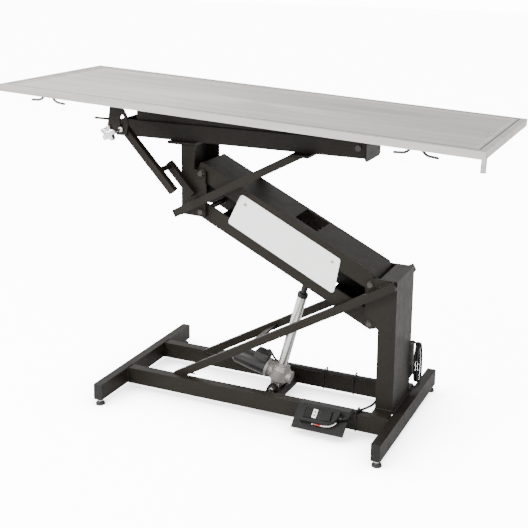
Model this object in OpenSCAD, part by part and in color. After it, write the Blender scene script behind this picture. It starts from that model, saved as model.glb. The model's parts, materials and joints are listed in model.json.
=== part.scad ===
// Electric lift grooming table: a steel H base with a fixed column, a parallel-arm
// lift driven by a linear actuator, a top beam, and a stainless tabletop that tilts
// a few degrees so that it drains. Millimetres. X runs along the tabletop, Z is up,
// and the origin is on the floor under the middle of the tabletop.

/* [Tabletop] */
// Length of the tabletop
top_l = 1496; // [1400:4:1600]
// Width of the tabletop
top_w = 558.8; // [500:0.4:600]
// Depth of the folded edge
lip_h = 21; // [18:1:30]
// Height of the tabletop's middle above the floor
top_z = 947; // [940:1:960]
// Tilt of the tabletop, lowered to the drain end
top_tilt = 2.75; // [0:0.25:3]

/* [Lift] */
// Distance between the two pivots of an arm
arm_l = 613; // [600:1:620]
// Angle of the arms above the horizontal
arm_angle = 26.25; // [20:0.25:30]
// Height of the upper arm's pivot on the column
pivot_z = 454; // [450:1:460]
// Vertical distance between the two arms' pivots
pivot_gap = 119; // [110:1:125]

/* [Base] */
// Length of a foot rail, across the table
foot_l = 574; // [560:2:600]
// Height of the rail tubes
rail_h = 50.4; // [45:0.2:52]
// Gap between the floor and the rails
rail_gap = 19.2; // [16:0.2:24]
// Outer width across the two side rails
base_w = 266.8; // [260:0.4:280]

/* [Column] */
// Width of the column across the table
column_w = 170.8; // [168:0.4:174]
// Height of the column
column_h = 473.5; // [470:0.5:476]

/* [Colours] */
// Powder-coated steel
frame_colour = "#2b2926"; // ["#2b2926", "#3a3a3a"]
// Stainless steel
steel_colour = "#d5d2cf"; // ["#d5d2cf", "#c8c8c8"]

/* [Hidden] */
$fn = 48;
tube_wall = 3;
foot_w = 28;                          // width of a foot rail tube
side_w = 32;                          // width of a side rail tube
left_foot_x = -422.5;
right_foot_x = 480;
rail_top = rail_gap + rail_h;
side_y = base_w / 2 - side_w;         // inner face of a side rail
foot_stud_y = foot_l / 2 - 15;
cap_t = 2;                            // plate of a rail end cap

column_x = 424.4;                     // left face of the column
column_d = 53.2;                      // depth of the column along X
plate_t = 8;                          // side plates of the column and the lift post
web_t = 6;
plate_y = column_w / 2;               // outer face of a side plate
pivot_x = 398;
bolt_d = 16;
bolt_head_d = 18;
bolt_head_h = 7;
bush_d = 22;
fit = 0.1;                            // difference of the diameters in a running fit

upper_pivot = [pivot_x, pivot_z];
lower_pivot = [pivot_x, pivot_z - pivot_gap];
arm_run = arm_l * cos(arm_angle);
arm_rise = arm_l * sin(arm_angle);
post_x = pivot_x - arm_run;           // pivots on the lift post
post_upper_z = pivot_z + arm_rise;
post_lower_z = post_upper_z - pivot_gap;

arm_wall = 6;
upper_arm_y = plate_y - plate_t - 3;  // outer face of the upper arm's walls
lower_arm_y = upper_arm_y - 1;
arm_end = 20;                         // length of an arm past its pivots
upper_arm_low = -22;
upper_arm_high = 30;
lower_arm_low = -21;
lower_arm_high = 29;
arm_plate_t = 4;
window_x = [-302, -220];
window_y = [-42, 60];

brace_t = 22;                         // width of a brace along Y
brace_h = 24;
brace_y = plate_y;                    // inner face of a brace

beam_x = [-444, 361];
beam_w = 130;
beam_z = 816;
beam_h = 51;
beam_t = 4;
post_left = -219;
post_top = beam_z - plate_t;
hinge = [342, 846];                   // tilt hinge: X and Z
hinge_d = 12;

stud = [-362, 862];                   // tilt clamp stud: X and Z
stud_d = 8;
strut_y = -177;                       // middle of the clamp strut
strut_w = 22;
strut_low = [-195, 684];
strut_angle = atan2(stud[1] - strut_low[1], strut_low[0] - stud[0]);
strut_l = norm(stud - strut_low);
rod_on_strut = 165;                   // place of the cross rod along the strut
cross_at = stud + rod_on_strut * [cos(strut_angle), -sin(strut_angle)];
bracket_l = 112;

act_base = [72, 48];                  // lower pin of the actuator: X and Z
act_top_local = [-212, -16];          // upper pin, in the upper arm's own frame
act_top = upper_pivot + act_top_local[0] * [cos(arm_angle), -sin(arm_angle)]
        + act_top_local[1] * [sin(arm_angle), cos(arm_angle)];
act_lean = atan2(act_top[0] - act_base[0], act_top[1] - act_base[1]);
act_l = norm(act_top - act_base);
act_pin_d = 12;
tube_d = 30;
tube_from = 72;
tube_to = 322;
rod_d = 20;
rod_from = 215;
rod_end_h = 26;

drain_x = 690;
drain_d = 28;
flange_d = 36;                        // ring round the drain, level with the floor
spout_d = 16;

switch_x = 281;                       // middle of the foot switch
switch_lean = 38;                     // lean of its plate, which hangs on the front rail
switch_plate = [162, 80];
switch_up = 8;                        // the housing sits this far up from the plate's middle
switch_t = 3;
switch_h = 19;                        // depth of the housing
rocker_half = 40;
cable_d = 7;
control_z = [112, 216];
control_y = 44;                       // depth of the control box

// Routes of the cables: points chosen along the rails and round the column
switch_route = [
    [351.2, -162.2, 61], [357, -162, 61.5], [364, -158, 65], [370, -149, 71], [375, -138, 74],
    [380, -122, 73.6], [389, -106, 73.6], [402, -88, 76], [413, -66, 80], [416, 0, 84],
    [416, 66, 84], [418, 90, 87], [430, 102, 94], [440, 106, 103], [440, 106, 112]
];
motor_route = [
    [24, 20.5, 141], [24, 32, 141], [22, 54, 136], [20, 76, 118], [24, 92, 94],
    [40, 102, 78], [70, 106, 74], [120, 104, 74], [200, 107, 74], [280, 105, 74],
    [350, 108, 74], [390, 110, 75], [412, 112, 83], [436, 115, 88], [456, 118, 98],
    [460, 118, 112]
];
slack_in = [[468, 102, 216.3], [468, 102, 220], [471, 102.5, 225], [477, 104, 227], [481, 107, 225.5]];
slack_out = [[502, 112, 90], [496, 96, 84], [486, 82, 82], [478.6, 76, 82]];
slack_turns = 2.5;
slack_size = [20, 62];                // half width and half height of the slack loops
slack_middle = [492, 114, 158];

// ---------- helpers ----------

// A box between two corners
module span(low, high) {
    translate(low) cube(high - low);
}

// A round bar along Y, from y0 to y1, on the axis at = [x, z]
module bar_y(at, d, y0, y1) {
    translate([at[0], y0, at[1]]) rotate([-90, 0, 0]) cylinder(d = d, h = y1 - y0);
}

// A flat plate between y0 and y1 whose outline is a list of [x, z] points
module plate_xz(outline, y0, y1) {
    translate([0, y1, 0]) rotate([90, 0, 0]) linear_extrude(height = y1 - y0) polygon(outline);
}

// A copy on each side of the XZ plane
module both_sides() {
    children();
    mirror([0, 1, 0]) children();
}

// The frame of an arm: its pivot on the column is the origin and the arm lies along -X
module arm_frame(pivot) {
    translate([pivot[0], 0, pivot[1]]) rotate([0, arm_angle, 0]) children();
}

// The frame of the tabletop: its upper rim is Z = 0
module top_frame() {
    translate([lip_h * sin(top_tilt) / 2, 0, top_z]) rotate([0, top_tilt, 0]) children();
}

// The frame of the actuator: its lower pin is the origin and it points along +Z
module actuator_frame() {
    translate([act_base[0], 0, act_base[1]]) rotate([0, act_lean, 0]) children();
}

// A bar from point a to point b in the XZ plane, h deep, between y0 and y1
module bar_xz(a, b, h, y0, y1) {
    translate([a[0], y0, a[1]])
        rotate([0, -atan2(b[1] - a[1], b[0] - a[0]), 0])
            translate([0, 0, -h / 2]) cube([norm(b - a), y1 - y0, h]);
}

// Point i of a smooth curve through pts at the fraction t of its stretch
function curve_point(pts, i, t) =
    let (n = len(pts) - 1,
         a = pts[max(i - 1, 0)], b = pts[i], c = pts[min(i + 1, n)], d = pts[min(i + 2, n)])
    0.5 * (2 * b + (c - a) * t + (2 * a - 5 * b + 4 * c - d) * t * t
        + (3 * b - a - 3 * c + d) * t * t * t);
function smooth(pts, steps) = concat(
    [for (i = [0 : len(pts) - 2], k = [0 : steps - 1]) curve_point(pts, i, k / steps)],
    [pts[len(pts) - 1]]);
function unit(v) = v / norm(v);
function heading(path, i) =
    unit(path[min(i + 1, len(path) - 1)] - path[max(i - 1, 0)]);
function side_of(dir) = unit(cross(dir, abs(dir[2]) > 0.9 ? [1, 0, 0] : [0, 0, 1]));
// The side vector carried along the path without twisting
function carried(side, dir) = unit(side - (side * dir) * dir);
function sides(path, i = 0, last = undef) =
    i == len(path) ? [] :
    let (dir = heading(path, i),
         side = is_undef(last) ? side_of(dir) : carried(last, dir))
    concat([side], sides(path, i + 1, side));

// A round tube along a path: one polyhedron with 8 sides
module cable(path, d) {
    n = 8;
    side = sides(path);
    points = [for (i = [0 : len(path) - 1]) let (dir = heading(path, i), v = cross(dir, side[i]))
        for (k = [0 : n - 1])
            path[i] + d / 2 * (cos(360 * k / n) * side[i] + sin(360 * k / n) * v)];
    last = (len(path) - 1) * n;
    polyhedron(points, concat(
        [[for (k = [0 : n - 1]) k]],
        [for (i = [0 : len(path) - 2], k = [0 : n - 1])
            let (a = i * n + k, b = i * n + (k + 1) % n) [a, a + n, b + n, b]],
        [[for (k = [n - 1 : -1 : 0]) last + k]]));
}

// ---------- base ----------

// A square tube with its length along Y and its ends open
module foot_rail(x) {
    y = foot_l / 2 - cap_t;
    color(frame_colour) difference() {
        span([x, -y, rail_gap], [x + foot_w, y, rail_top]);
        span([x + tube_wall, -y - 1, rail_gap + tube_wall],
             [x + foot_w - tube_wall, y + 1, rail_top - tube_wall]);
        for (s = [-1, 1]) translate([x + foot_w / 2, s * foot_stud_y, rail_gap - 1])
            cylinder(d = 10 + fit, h = tube_wall + 2);
    }
}
module left_foot_rail() { foot_rail(left_foot_x); }
module right_foot_rail() { foot_rail(right_foot_x); }

// A tube along X that joins the two foot rails
module side_rail() {
    x0 = left_foot_x + foot_w;
    color(frame_colour) difference() {
        span([x0, -side_y - side_w, rail_gap], [right_foot_x, -side_y, rail_top]);
        span([x0 - 1, -side_y - side_w + tube_wall, rail_gap + tube_wall],
             [right_foot_x + 1, -side_y - tube_wall, rail_top - tube_wall]);
    }
}
module front_side_rail() { side_rail(); }
module rear_side_rail() { mirror([0, 1, 0]) side_rail(); }

// Push-in caps that close the four ends of the foot rails
module rail_end_caps() {
    plug = 4;
    for (x = [left_foot_x, right_foot_x]) color("#1c1b1a") both_sides() union() {
        span([x, -foot_l / 2, rail_gap], [x + foot_w, -foot_l / 2 + cap_t, rail_top]);
        span([x + tube_wall, -foot_l / 2 + cap_t, rail_gap + tube_wall],
             [x + foot_w - tube_wall, -foot_l / 2 + cap_t + plug, rail_top - tube_wall]);
    }
}

// Angle across the side rails with two ears for the actuator's lower pin
module actuator_crossmember() {
    ear_y = [26, 34];
    color(frame_colour) difference() {
        union() {
            span([40, -side_y, 22], [104, side_y, 28]);
            span([98, -side_y, 28], [104, side_y, 48]);
            both_sides() span([52, ear_y[0], 28], [98, ear_y[1], 48]);
            both_sides() bar_y(act_base, 32, ear_y[0], ear_y[1]);
        }
        bar_y(act_base, act_pin_d + fit, -side_y, side_y);
    }
}
module actuator_base_pin() {
    color("#8f8c88") union() {
        bar_y(act_base, act_pin_d, -38, 38);
        bar_y(act_base, 19, -44, -34);
        bar_y(act_base, 19, 34, 42);
    }
}

// Outline of the column's side plate, with the ear that carries the arms
function column_outline() = [
    [column_x, rail_top], [column_x + column_d, rail_top], [column_x + column_d, column_h],
    [pivot_x + 4, column_h], [pivot_x - 15, pivot_z + 2], [pivot_x - 15, pivot_z - 92],
    [pivot_x + 10, pivot_z - 126], [column_x, pivot_z - 132]];
module column() {
    right = column_x + column_d;
    color(frame_colour) difference() {
        union() {
            both_sides() plate_xz(column_outline(), plate_y - plate_t, plate_y);
            span([right - web_t, -plate_y + plate_t, rail_top],
                 [right, plate_y - plate_t, column_h]);
            span([column_x, -plate_y + plate_t, column_h - web_t],
                 [right - web_t, plate_y - plate_t, column_h]);
            span([column_x, -plate_y + plate_t, rail_top],
                 [column_x + web_t, plate_y - plate_t, lower_pivot[1] - 46]);
            span([column_x + web_t, -plate_y + plate_t, rail_top],
                 [right - web_t, plate_y - plate_t, rail_top + web_t]);
            both_sides() span([column_x, plate_y, rail_top], [right, base_w / 2, rail_top + 8]);
        }
        for (p = [upper_pivot, lower_pivot]) bar_y(p, bolt_d, -plate_y - 1, plate_y + 1);
    }
}

// Brace from the top of the column down to the side rail
module base_brace() {
    low = [-240, 58];
    high = [474, 464];
    color(frame_colour) intersection() {
        bar_xz(low, high, brace_h, -brace_y - brace_t, -brace_y);
        span([-400, -brace_y - brace_t, rail_top],
             [column_x + column_d, -brace_y, column_h]);
    }
}
module front_base_brace() { base_brace(); }
module rear_base_brace() { mirror([0, 1, 0]) base_brace(); }

// Flat bar that ties the two base braces together
module brace_crossbar() {
    slope = atan2(406, 714);
    color(frame_colour) translate([2, -brace_y, 195.6]) rotate([0, -slope, 0])
        translate([0, 0, -3]) cube([38, 2 * brace_y, 5]);
}

// A bolt through both side plates, with its head and its nut
module pivot_bolt(at) {
    color("#3d3a37") union() {
        bar_y(at, bolt_d, -plate_y, plate_y);
        bar_y(at, bolt_head_d, -plate_y - bolt_head_h, -plate_y);
        bar_y(at, bolt_head_d, plate_y, plate_y + bolt_head_h + 2);
    }
}
module column_pivot_bolts() {
    pivot_bolt(upper_pivot);
    pivot_bolt(lower_pivot);
}

// Control box on the rear face of the column
module control_box() {
    color("#232220") span([column_x + 2, plate_y, control_z[0]],
                          [column_x + column_d - 1, plate_y + control_y, control_z[1]]);
}
module mains_inlet() {
    x = column_x + 13;
    y = plate_y + control_y;
    z = 168;
    color("#111111") difference() {
        span([x, y, z], [x + 28, y + 6, z + 22]);
        span([x + 3, y + 1.5, z + 3], [x + 25, y + 7, z + 19]);
    }
}

module switch_cable() { color("#0d0d0d") cable(smooth(switch_route, 5), cable_d); }
module motor_cable() { color("#0d0d0d") cable(smooth(motor_route, 5), cable_d); }

// Spare cable hung in loops between the control box and the column
module slack_cable() {
    steps = 62;
    loops = [for (i = [0 : steps])
        let (a = 90 - 360 * slack_turns * i / steps,
             x = slack_middle[0] - 9 + 18 * i / steps)
        [x, slack_middle[1] + slack_size[0] * cos(a),
         slack_middle[2] + (slack_size[1] + 6 * sin(2.5 * 360 * i / steps)) * sin(a)]];
    color("#0d0d0d") cable(concat(slack_in, loops, smooth(slack_out, 2)), cable_d);
}

// Ties that hold the cables to the rear rail, and the clip on the front rail
module cable_ties() {
    tie_w = 4;
    for (x = [190, 290]) color("#4a4a48") difference() {
        span([x, side_y - 2, rail_gap - 2], [x + tie_w, side_y + side_w + 2, rail_top + 9]);
        span([x - 1, side_y, rail_gap], [x + tie_w + 1, side_y + side_w, rail_top + 8]);
    }
    color("#4a4a48") difference() {
        span([380, -side_y - side_w - 2, rail_gap - 2], [384, -side_y + 2, rail_top + 9]);
        span([379, -side_y - side_w, rail_gap], [385, -side_y, rail_top + 8]);
    }
}

// The frame of the foot switch: its plate leans against the front rail, +Z is away from it
module switch_frame() {
    half = switch_plate[1] / 2;
    translate([switch_x, -base_w / 2 - half * cos(switch_lean), rail_top - half * sin(switch_lean)])
        rotate([switch_lean, 0, 0]) children();
}
// Bent plate that hooks over the front rail and carries the foot switch
module switch_tray() {
    along = [cos(switch_lean), sin(switch_lean)];
    corner = [-base_w / 2, rail_top];
    low = corner - switch_plate[1] * along;
    out = switch_t * [-along[1], along[0]];
    color("#151514") translate([switch_x - switch_plate[0] / 2 + 4, 0, 0])
        rotate([90, 0, 90]) linear_extrude(height = switch_plate[0]) polygon([
            corner, low, low + out,
            corner + switch_t * [-(1 - along[0]) / along[1], 1],
            [-side_y - 4, rail_top + switch_t], [-side_y - 4, rail_top]]);
}
// Foot switch: a tapered housing with an open well that the rocker sits in
module foot_switch_housing() {
    color("#171716") switch_frame() translate([0, switch_up, 0]) difference() {
        union() {
            translate([0, 0, switch_t]) linear_extrude(height = switch_h)
                polygon([[-66, -12], [-62, -24], [-52, -29], [20, -29], [38, -26], [50, -18],
                         [57, -8], [62, 6], [62, 20], [56, 26], [-52, 26], [-60, 20]]);
            translate([40, 4, 11]) rotate([0, 90, 0]) cylinder(d = 12, h = 30);
        }
        span([-rocker_half - 2.5, -19, 9], [rocker_half + 2.5, 15, 40]);
        translate([0, -23, 18]) rotate([-90, 0, 0]) cylinder(d = 6, h = 42);
    }
}
// Rocker that tips to one side for up and to the other for down
module foot_rocker() {
    color("#242322") switch_frame() translate([0, switch_up, 0]) union() {
        plate_xz([[-rocker_half, 25], [-rocker_half, 19], [-8, 15], [8, 15],
                  [rocker_half, 19], [rocker_half, 25], [0, 21.5]], -18, 14);
        translate([0, -22.5, 18]) rotate([-90, 0, 0]) cylinder(d = 5.9, h = 41);
    }
}

// A levelling foot: a round pad on a threaded stud
module levelling_foot(x, y) {
    color("#1a1a19") translate([x + foot_w / 2, y, 0]) union() {
        cylinder(d1 = 30, d2 = 27, h = 7);
        translate([0, 0, 7]) cylinder(d1 = 20, d2 = 12, h = 4);
        cylinder(d = 10, h = 40);
    }
}
module levelling_foot_1() { levelling_foot(left_foot_x, -foot_stud_y); }
module levelling_foot_2() { levelling_foot(left_foot_x, foot_stud_y); }
module levelling_foot_3() { levelling_foot(right_foot_x, -foot_stud_y); }
module levelling_foot_4() { levelling_foot(right_foot_x, foot_stud_y); }

// Nuts welded inside the foot rails, one for each stud
module levelling_nuts() {
    for (x = [left_foot_x, right_foot_x], s = [-1, 1])
        color("#77746f") translate([x + foot_w / 2, s * foot_stud_y, rail_gap + tube_wall])
            difference() {
                cylinder(d = 18, h = 8, $fn = 6);
                translate([0, 0, -1]) cylinder(d = 10 + fit, h = 10);
            }
}

// ---------- arms ----------

// One wall of an arm, with the holes of its two bushes
module arm_wall_plate(low, high, y) {
    difference() {
        plate_xz([[-arm_l - arm_end, low + 8], [-arm_l - arm_end, high - 5],
                  [-arm_l - arm_end + 5, high], [min(-8, 22 - high), high], [arm_end, 8],
                  [arm_end, low + 12], [arm_end - 14, low], [-arm_l - arm_end + 8, low]],
                 y - arm_wall, y);
        for (x = [0, -arm_l]) bar_y([x, 0], bush_d, y - arm_wall - 1, y + 1);
    }
}

// Flanged bushes at both ends of both walls
module arm_bushes(y) {
    for (x = [0, -arm_l]) color("#2f2e2c") both_sides() difference() {
        union() {
            bar_y([x, 0], bush_d, y - arm_wall - 2, y);
            bar_y([x, 0], 24, y, plate_y - plate_t - 0.4);
        }
        bar_y([x, 0], bolt_d + fit, y - arm_wall - 3, plate_y);
    }
}

module lower_arm() {
    inner = lower_arm_y - arm_wall;
    color(frame_colour) arm_frame(lower_pivot) union() {
        both_sides() arm_wall_plate(lower_arm_low, lower_arm_high, lower_arm_y);
        for (x = [[-arm_l + 30, -340], [-160, -30]])
            span([x[0], -inner, lower_arm_low], [x[1], inner, lower_arm_low + arm_plate_t]);
    }
}
module lower_arm_bushes() { arm_frame(lower_pivot) arm_bushes(lower_arm_y); }

module upper_arm() {
    inner = upper_arm_y - arm_wall;
    ear_y = [12, 18];
    pin = act_top_local;
    color(frame_colour) arm_frame(upper_pivot) difference() {
        union() {
            both_sides() arm_wall_plate(upper_arm_low, upper_arm_high, upper_arm_y);
            difference() {
                span([-arm_l - arm_end + 6, -inner, upper_arm_high - arm_plate_t],
                     [-10, inner, upper_arm_high]);
                span([window_x[0], window_y[0], 0], [window_x[1], window_y[1], upper_arm_high + 2]);
            }
            both_sides() span([pin[0] - 15, ear_y[0], pin[1]],
                              [pin[0] + 15, ear_y[1], upper_arm_high - arm_plate_t]);
            both_sides() bar_y(pin, 30, ear_y[0], ear_y[1]);
        }
        bar_y(pin, act_pin_d + fit, -30, 30);
    }
}
module upper_arm_bushes() { arm_frame(upper_pivot) arm_bushes(upper_arm_y); }

module actuator_top_pin() {
    color("#8f8c88") arm_frame(upper_pivot) union() {
        bar_y(act_top_local, act_pin_d, -22, 22);
        bar_y(act_top_local, 17, -26, -18);
        bar_y(act_top_local, 17, 18, 26);
    }
}

// White cover plate on the front of the upper arm
module side_panel() {
    color("white") arm_frame(upper_pivot)
        plate_xz([[-472, 13], [-113, 11], [-82, -95], [-471, -92]],
                 -upper_arm_y - 3, -upper_arm_y);
}
module panel_screws() {
    for (x = [-446, -132]) color("#cfcfcf") arm_frame(upper_pivot) union() {
        bar_y([x, -9], 9, -upper_arm_y - 5.5, -upper_arm_y - 3);
        bar_y([x, -9], 4.8, -upper_arm_y - 3, -upper_arm_y + arm_wall + 3);
    }
}

// ---------- lift post and beam ----------

function post_outline() = [
    [post_left, post_top], [post_left + 44, post_top], [post_left + 44, post_upper_z + 11],
    [post_x + 15, post_upper_z + 7], [post_x + 15, post_lower_z - 17],
    [post_left - 6, post_lower_z - 14], [post_left, post_lower_z]];
module lift_post() {
    color(frame_colour) difference() {
        union() {
            both_sides() plate_xz(post_outline(), plate_y - plate_t, plate_y);
            span([post_left, -plate_y + plate_t, post_lower_z + 14],
                 [post_left + plate_t, plate_y - plate_t, post_top]);
            span([post_left - 48, -plate_y, post_top], [post_left + 46, plate_y, beam_z]);
        }
        for (z = [post_upper_z, post_lower_z])
            bar_y([post_x, z], bolt_d, -plate_y - 1, plate_y + 1);
    }
}
module post_pivot_bolts() {
    pivot_bolt([post_x, post_upper_z]);
    pivot_bolt([post_x, post_lower_z]);
}

// Channel, open at the top, that the tilt frame folds down into
module top_beam() {
    y = beam_w / 2;
    saddle_x = [146, 206];
    color(frame_colour) difference() {
        union() {
            span([beam_x[0], -y, beam_z], [beam_x[1], y, beam_z + beam_t]);
            both_sides() span([beam_x[0], y - beam_t, beam_z + beam_t],
                              [beam_x[1], y, beam_z + beam_h]);
            span([saddle_x[0], -brace_y - brace_t, beam_z - 6],
                 [saddle_x[1], brace_y + brace_t, beam_z]);
        }
        bar_y(hinge, hinge_d, -y - 1, y + 1);
    }
}
module beam_end_plates() {
    y = beam_w / 2;
    color("#4a4947") difference() {
        span([beam_x[1], -y, beam_z - 10], [beam_x[1] + 5, y, beam_z + beam_h]);
        for (s = [-1, 1]) translate([beam_x[1] - 1, s * y, beam_z - 10]) rotate([45, 0, 0])
            translate([0, -6, -6]) cube([7, 12, 12]);
    }
    color(frame_colour)
        span([beam_x[0] - 4, -y, beam_z], [beam_x[0], y, beam_z + beam_h]);
}

// Brace from the foot of the post up to the beam
module post_brace() {
    low = [-236, 594];
    high = [200, 830];
    color(frame_colour) intersection() {
        bar_xz(low, high, brace_h, -brace_y - brace_t, -brace_y);
        span([-240, -brace_y - brace_t, 500], [260, -brace_y, beam_z - 6]);
    }
}
module front_post_brace() { post_brace(); }
module rear_post_brace() { mirror([0, 1, 0]) post_brace(); }

module tilt_hinge_pin() {
    y = beam_w / 2;
    color("#8f8c88") union() {
        bar_y(hinge, hinge_d, -y - 2, y + 2);
        bar_y(hinge, 18, -y - 5, -y);
        bar_y(hinge, 18, y, y + 5);
    }
}

// Outrigger that holds the tilt clamp at the front edge: bracket, cross rod and strut
module strut_frame(at) {
    translate([at[0], 0, at[1]]) rotate([0, strut_angle, 0]) children();
}
module strut_bracket() {
    h = strut_w / 2;
    color(frame_colour) strut_frame(cross_at)
        span([-12, -brace_y - strut_w, -h], [bracket_l, -brace_y, h]);
}
module strut_cross_rod() {
    color(frame_colour) bar_y(cross_at, 16, strut_y + strut_w / 2, -brace_y - strut_w);
}
module clamp_strut() {
    h = strut_w / 2;
    color(frame_colour) strut_frame(stud) difference() {
        span([-14, strut_y - h, -h], [strut_l, strut_y + h, h]);
        span([-15, strut_y - h + 3, -h + 3], [strut_l - 3, strut_y + h - 3, h - 3]);
        bar_y([0, 0], stud_d + fit, strut_y - h - 1, strut_y + h + 1);
    }
}

// ---------- tabletop ----------

rim_w = 20;                           // flat rim round the tabletop
slope_w = 18;                         // slope from the rim down to the floor
dish = 4.5;
sheet_t = 2;
board_t = 12;
floor_z = -dish - sheet_t;

// The hollow above the dished floor: a prism along X met by a prism along Y
module dish_hollow() {
    a = top_l / 2 - rim_w;
    b = top_w / 2 - rim_w;
    d = dish;
    s = slope_w;
    intersection() {
        plate_xz([[-a - s, s], [-a + s, -d], [a - s, -d], [a + s, s]], -top_w, top_w);
        rotate([0, 0, 90])
            plate_xz([[-b - s, s], [-b + s, -d], [b - s, -d], [b + s, s]], -top_l, top_l);
    }
}
module tabletop() {
    x = top_l / 2;
    y = top_w / 2;
    color(steel_colour) top_frame() difference() {
        span([-x, -y, -lip_h], [x, y, 0]);
        dish_hollow();
        span([-x + sheet_t, -y + sheet_t, -lip_h - 1], [x - sheet_t, y - sheet_t, floor_z]);
        translate([drain_x, 0, -30]) cylinder(d = flange_d, h = 40);
    }
}
module deck_board() {
    inset = 14;
    color("#26221e") top_frame() difference() {
        span([-top_l / 2 + inset, -top_w / 2 + inset, floor_z - board_t],
             [top_l / 2 - inset, top_w / 2 - inset, floor_z]);
        translate([drain_x, 0, -40]) cylinder(d = drain_d, h = 50);
    }
}

// Box section under the board, hinged to the beam at its right end
module tilt_frame() {
    x = [-390, 354];
    y = 57;
    z = [-104, floor_z - board_t];
    t = 4;
    color(frame_colour) difference() {
        top_frame() difference() {
            span([x[0], -y, z[0]], [x[1], y, z[1]]);
            span([x[0] - 1, -y + t, z[0] + t], [x[1] + 1, y - t, z[1] - t]);
        }
        bar_y(hinge, hinge_d + fit, -y - 1, y + 1);
    }
}

// Slotted plate that slides past the clamp stud as the top tilts
module tilt_quadrant() {
    y0 = strut_y - strut_w / 2 - 6;
    slot_w = 13;
    color(frame_colour) union() {
        difference() {
            plate_xz([[-400, 944], [-368, 942.5], [-345, 905], [-340, 880], [-346, 843],
                      [-378, 843], [-412, 872]], y0, y0 + 5);
            bar_y(stud, slot_w, y0 - 1, y0 + 6);
            bar_y(stud + [2, 37], slot_w, y0 - 1, y0 + 6);
            span([stud[0] - slot_w / 2 + 0.5, y0 - 1, stud[1]],
                 [stud[0] + slot_w / 2 + 1.5, y0 + 6, stud[1] + 37]);
        }
        top_frame() span([-400, y0, floor_z - board_t - 5], [-366, y0 + 40, floor_z - board_t]);
    }
}
module lift_grip() {
    y = strut_y - strut_w / 2 - 3.5;
    color(frame_colour) translate([-404, y, 889]) rotate([0, -90, 0]) union() {
        cylinder(d = 7, h = 52);
        translate([0, 0, 52]) sphere(d = 7);
    }
}

module drain_flange() {
    color(steel_colour) top_frame() translate([drain_x, 0, 0]) difference() {
        union() {
            translate([0, 0, -34]) cylinder(d = drain_d, h = 34 + floor_z);
            translate([0, 0, floor_z]) cylinder(d = flange_d, h = sheet_t);
        }
        translate([0, 0, -35]) cylinder(d = spout_d - 3, h = 40);
    }
}
module drain_spout() {
    color(steel_colour) top_frame() translate([drain_x, 0, -118]) difference() {
        union() {
            cylinder(d = spout_d, h = 83);
            translate([0, 0, 83]) cylinder(d = spout_d - 1.5, h = 1);
        }
        translate([0, 0, -1]) cylinder(d = spout_d - 3, h = 86);
    }
}

// Horned cleats for leads, two under each long edge
cleat_x = [-577, 566];
cleat_wire = 7;
module horn(s) {
    a = [16 * s, 0, -lip_h - 2];
    b = [31 * s, 0, -lip_h - 13];
    c = [58 * s, 0, -lip_h - 16];
    for (p = [[a, b + (b - a) * 0.15], [b - (c - b) * 0.08, c]]) {
        v = p[1] - p[0];
        translate(p[0]) rotate([0, atan2(v[0], v[2]), 0]) cylinder(d = cleat_wire, h = norm(v));
    }
    translate(c) sphere(d = cleat_wire + 3);
}
module rope_cleats() {
    for (x = cleat_x, s = [-1, 1])
        color("#161615") top_frame() translate([x, s * (top_w / 2 - 20), 0]) union() {
            span([-24, -5, -lip_h], [24, 5, floor_z - board_t]);
            horn(-1);
            horn(1);
        }
}

// ---------- tilt clamp ----------

module tilt_knob() {
    lobes = 5;
    color("#eceae6") translate([stud[0], -255, stud[1]]) rotate([90, 0, 0]) difference() {
        union() {
            cylinder(d = 32, h = 20);
            translate([0, 0, -8]) cylinder(d = 20, h = 8);
            for (i = [0 : lobes - 1]) rotate([0, 0, 360 * i / lobes])
                translate([17, 0, 0]) cylinder(d = 15, h = 17);
        }
        translate([0, 0, -9]) cylinder(d = stud_d, h = 24);
    }
}
module knob_stud() {
    color("#d8d6d2") union() {
        bar_y(stud, stud_d, -268, strut_y + strut_w / 2 + 4);
        bar_y(stud, 15, strut_y - strut_w / 2 - 14, strut_y - strut_w / 2 - 7);
    }
}

// ---------- actuator ----------

module actuator_gearbox() {
    color("#8d8780") actuator_frame() difference() {
        union() {
            rotate([90, 0, 0]) translate([0, 0, -24]) cylinder(d = 30, h = 48);
            span([-15, -24, 0], [15, 24, 20]);
            translate([0, 0, 12]) cylinder(d1 = 44, d2 = 62, h = 14);
            translate([0, 0, 26]) cylinder(d = 62, h = 34);
            translate([0, 0, 60]) cylinder(d1 = 56, d2 = 42, h = 14);
            translate([0, 0, 44]) rotate([0, -90, 0]) cylinder(d = 46, h = 38);
            translate([-38, 0, 44]) rotate([0, -90, 0]) cylinder(d = 62, h = 8);
            translate([0, 0, 44]) rotate([0, 90, 0]) cylinder(d = 40, h = 40);
            for (a = [45 : 90 : 315]) rotate([0, 0, a]) translate([24, 0, 56])
                cylinder(d = 9, h = 12);
        }
        rotate([90, 0, 0]) translate([0, 0, -30]) cylinder(d = act_pin_d + fit, h = 60);
        translate([0, 0, tube_from - 6]) cylinder(d = tube_d, h = 20);
    }
}
module actuator_motor() {
    motor_d = 58;
    color("#161615") actuator_frame() union() {
        translate([-46, 0, 44]) rotate([0, -90, 0]) cylinder(d = motor_d, h = 106);
        translate([-152, 0, 44]) rotate([0, -90, 0]) cylinder(d1 = motor_d, d2 = 46, h = 10);
        span([-92, -20, 66], [-48, 20, 90]);
    }
}
module actuator_tube() {
    color("#cfcdca") actuator_frame() difference() {
        translate([0, 0, tube_from - 6]) cylinder(d = tube_d, h = tube_to - tube_from + 6);
        translate([0, 0, tube_from - 7]) cylinder(d = tube_d - 4, h = tube_to - tube_from - 5);
        translate([0, 0, tube_to - 20]) cylinder(d = rod_d + fit, h = 30);
    }
}
module actuator_spindle() {
    color("#9c9a96") actuator_frame() translate([0, 0, tube_from - 6]) cylinder(d = 12, h = 214);
}
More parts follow.
